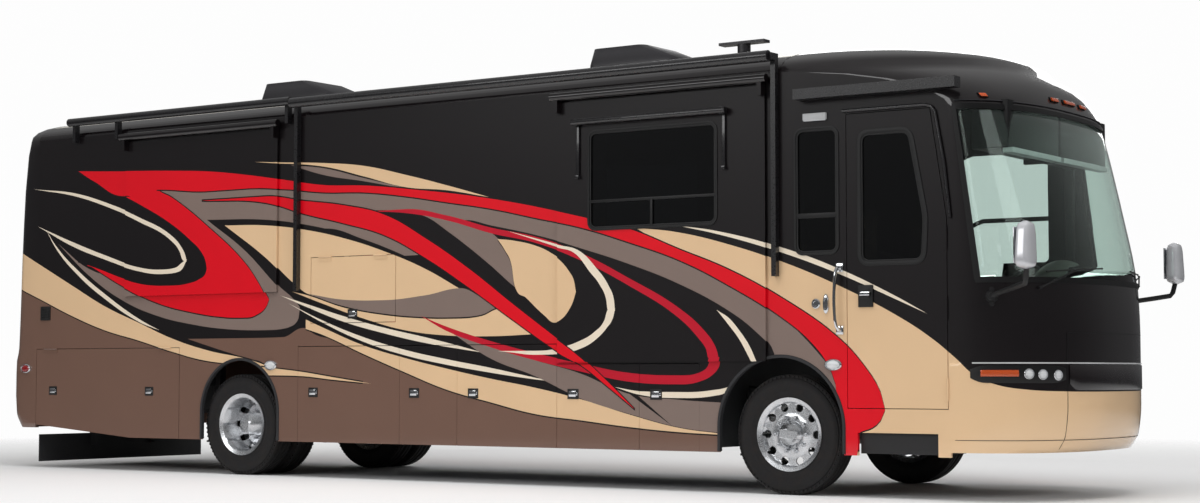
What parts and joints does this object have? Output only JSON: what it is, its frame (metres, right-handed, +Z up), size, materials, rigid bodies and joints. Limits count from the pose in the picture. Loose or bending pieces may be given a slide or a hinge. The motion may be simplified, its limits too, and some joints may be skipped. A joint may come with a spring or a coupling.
{
  "type": "motorhome",
  "caption": "Class A diesel motorhome with steered front axle, twin rear tyres, slide-outs, an entry door and opening storage doors.",
  "frame": {"origin": "on the ground under the middle of the vehicle's overall box, mirrors included", "axes": "+X forward, +Y to the driver's left, +Z up"},
  "size_m": [11.81, 3.43, 3.985],
  "materials": {
    "wall_paint": "gloss black clear coat with painted sweeps",
    "skirt_paint": "gloss brown clear coat with painted sweeps",
    "roof_skin": "satin moulded roof sheet",
    "chassis": "semi-gloss black chassis paint",
    "engine": "grey casting",
    "floor": "laminated floor sandwich",
    "bay_liner": "moulded liner",
    "windshield_glass": "green-tinted laminated glass",
    "window_glass": "dark-tinted glass",
    "lamp_lens": "clear and red lenses",
    "interior_trim": "soft moulded dash",
    "soft_black": "soft black moulding",
    "seat_cloth": "woven tan upholstery",
    "mirror_shell": "bright mirror heads on black arms",
    "roof_plastic": "moulded shroud",
    "awning_metal": "satin black extrusion",
    "step_metal": "black textured steel",
    "rubber_flap": "rubber sheet",
    "tyre": "rubber",
    "wheel_alloy": "polished forged aluminium"
  },
  "bodies": {
    "coach": {"chassis_frame": "chassis", "front_axle": "chassis", "rear_axle": "chassis", "engine_block": "engine", "house_floor": "floor", "storage_bays": "bay_liner", "right_wall": "wall_paint", "left_wall": "wall_paint", "skirt_panels": "skirt_paint", "roof": "roof_skin", "front_cap": "wall_paint", "front_bumper": "skirt_paint", "windshield": "windshield_glass", "rear_cap": "wall_paint", "window_glass": "window_glass", "lamps": "lamp_lens", "dashboard": "interior_trim", "steering_wheel": "soft_black", "cab_seats": "seat_cloth", "mirrors": "mirror_shell", "wipers": "soft_black", "air_conditioners": "roof_plastic", "roof_antenna": "roof_plastic", "patio_awning": "awning_metal", "door_awning": "awning_metal", "entry_step": "step_metal", "levelling_jacks": "chassis", "rock_guard": "rubber_flap"},
    "right_steering": {"right_knuckle": "chassis"},
    "left_steering": {"left_knuckle": "chassis"},
    "front_right_wheel": {"front_right_tyre": "tyre", "front_right_rim": "wheel_alloy"},
    "front_left_wheel": {"front_left_tyre": "tyre", "front_left_rim": "wheel_alloy"},
    "rear_right_wheels": {"rear_right_tyres": "tyre", "rear_right_rims": "wheel_alloy"},
    "rear_left_wheels": {"rear_left_tyres": "tyre", "rear_left_rims": "wheel_alloy"},
    "entry_door": {"entry_door": "wall_paint", "entry_door_glass": "window_glass"},
    "right_bay_door_1": {"right_bay_door_1": "skirt_paint"},
    "right_bay_door_2": {"right_bay_door_2": "skirt_paint"},
    "right_bay_door_3": {"right_bay_door_3": "skirt_paint"},
    "right_bay_door_4": {"right_bay_door_4": "skirt_paint"},
    "right_bay_door_5": {"right_bay_door_5": "skirt_paint"},
    "right_rear_door": {"right_rear_door": "skirt_paint"},
    "fridge_door": {"fridge_door": "wall_paint"},
    "left_bay_door_1": {"left_bay_door_1": "skirt_paint"},
    "left_bay_door_2": {"left_bay_door_2": "skirt_paint"},
    "left_bay_door_3": {"left_bay_door_3": "skirt_paint"},
    "left_rear_door": {"left_rear_door": "skirt_paint"},
    "engine_hatch": {"engine_hatch": "wall_paint"},
    "lounge_slide": {"lounge_slide": "wall_paint", "lounge_glass": "window_glass"},
    "bedroom_slide": {"bedroom_slide": "wall_paint"},
    "galley_slide": {"galley_slide": "wall_paint", "galley_glass": "window_glass"}
  },
  "joints": [
    {"name": "right_steer", "type": "hinge", "parent": "coach", "child": "right_steering", "pos_m": [3.555, -0.845, 0.49], "axis": [0, 0, 1], "range_deg": [-42, 42]},
    {"name": "left_steer", "type": "hinge", "parent": "coach", "child": "left_steering", "pos_m": [3.555, 0.845, 0.49], "axis": [0, 0, 1], "range_deg": [-42, 42]},
    {"name": "front_right_spin", "type": "hinge", "parent": "right_steering", "child": "front_right_wheel", "pos_m": [3.555, -1.085, 0.49], "axis": [0, 1, 0], "continuous": true},
    {"name": "front_left_spin", "type": "hinge", "parent": "left_steering", "child": "front_left_wheel", "pos_m": [3.555, 1.085, 0.49], "axis": [0, 1, 0], "continuous": true},
    {"name": "rear_right_spin", "type": "hinge", "parent": "coach", "child": "rear_right_wheels", "pos_m": [-2.555, -0.94, 0.49], "axis": [0, 1, 0], "continuous": true},
    {"name": "rear_left_spin", "type": "hinge", "parent": "coach", "child": "rear_left_wheels", "pos_m": [-2.555, 0.94, 0.49], "axis": [0, 1, 0], "continuous": true},
    {"name": "entry_door_hinge", "type": "hinge", "parent": "coach", "child": "entry_door", "pos_m": [5.008, -1.2865, 1.4], "axis": [0, 0, 1], "range_deg": [0, 92]},
    {"name": "right_bay_door_1_hinge", "type": "hinge", "parent": "coach", "child": "right_bay_door_1", "pos_m": [2.747, -1.277, 0.7], "axis": [0, 0, 1], "range_deg": [0, 90]},
    {"name": "right_bay_door_2_hinge", "type": "hinge", "parent": "coach", "child": "right_bay_door_2", "pos_m": [2.144, -1.277, 0.7], "axis": [0, 0, 1], "range_deg": [0, 90]},
    {"name": "right_bay_door_3_hinge", "type": "hinge", "parent": "coach", "child": "right_bay_door_3", "pos_m": [1.281, -1.277, 0.7], "axis": [0, 0, 1], "range_deg": [0, 90]},
    {"name": "right_bay_door_4_hinge", "type": "hinge", "parent": "coach", "child": "right_bay_door_4", "pos_m": [0.172, -1.277, 0.7], "axis": [0, 0, 1], "range_deg": [0, 90]},
    {"name": "right_bay_door_5_hinge", "type": "hinge", "parent": "coach", "child": "right_bay_door_5", "pos_m": [-0.503, -1.277, 0.7], "axis": [0, 0, 1], "range_deg": [0, 90]},
    {"name": "left_bay_door_1_hinge", "type": "hinge", "parent": "coach", "child": "left_bay_door_1", "pos_m": [2.747, 1.277, 0.7], "axis": [0, 0, -1], "range_deg": [0, 90]},
    {"name": "left_bay_door_2_hinge", "type": "hinge", "parent": "coach", "child": "left_bay_door_2", "pos_m": [1.281, 1.277, 0.7], "axis": [0, 0, -1], "range_deg": [0, 90]},
    {"name": "left_bay_door_3_hinge", "type": "hinge", "parent": "coach", "child": "left_bay_door_3", "pos_m": [-0.503, 1.277, 0.7], "axis": [0, 0, -1], "range_deg": [0, 90]},
    {"name": "right_rear_door_hinge", "type": "hinge", "parent": "coach", "child": "right_rear_door", "pos_m": [-4.245, -1.2865, 1.243], "axis": [-1, 0, 0], "range_deg": [0, 85]},
    {"name": "left_rear_door_hinge", "type": "hinge", "parent": "coach", "child": "left_rear_door", "pos_m": [-4.245, 1.2865, 1.243], "axis": [1, 0, 0], "range_deg": [0, 85]},
    {"name": "fridge_door_hinge", "type": "hinge", "parent": "coach", "child": "fridge_door", "pos_m": [-1.075, -1.2865, 2.088], "axis": [-1, 0, 0], "range_deg": [0, 88]},
    {"name": "engine_hatch_hinge", "type": "hinge", "parent": "coach", "child": "engine_hatch", "pos_m": [-5.88107, 0, 1.187], "axis": [0, 1, 0], "range_deg": [0, 78]},
    {"name": "lounge_slide_travel", "type": "slide", "parent": "coach", "child": "lounge_slide", "axis": [0, -1, 0], "range_m": [0, 0.6]},
    {"name": "bedroom_slide_travel", "type": "slide", "parent": "coach", "child": "bedroom_slide", "axis": [0, -1, 0], "range_m": [0, 0.6]},
    {"name": "galley_slide_travel", "type": "slide", "parent": "coach", "child": "galley_slide", "axis": [0, 1, 0], "range_m": [0, 0.7]}
  ],
  "couplings": [
    {"joint": "left_steer", "follows": "right_steer", "ratio": 1}
  ]
}
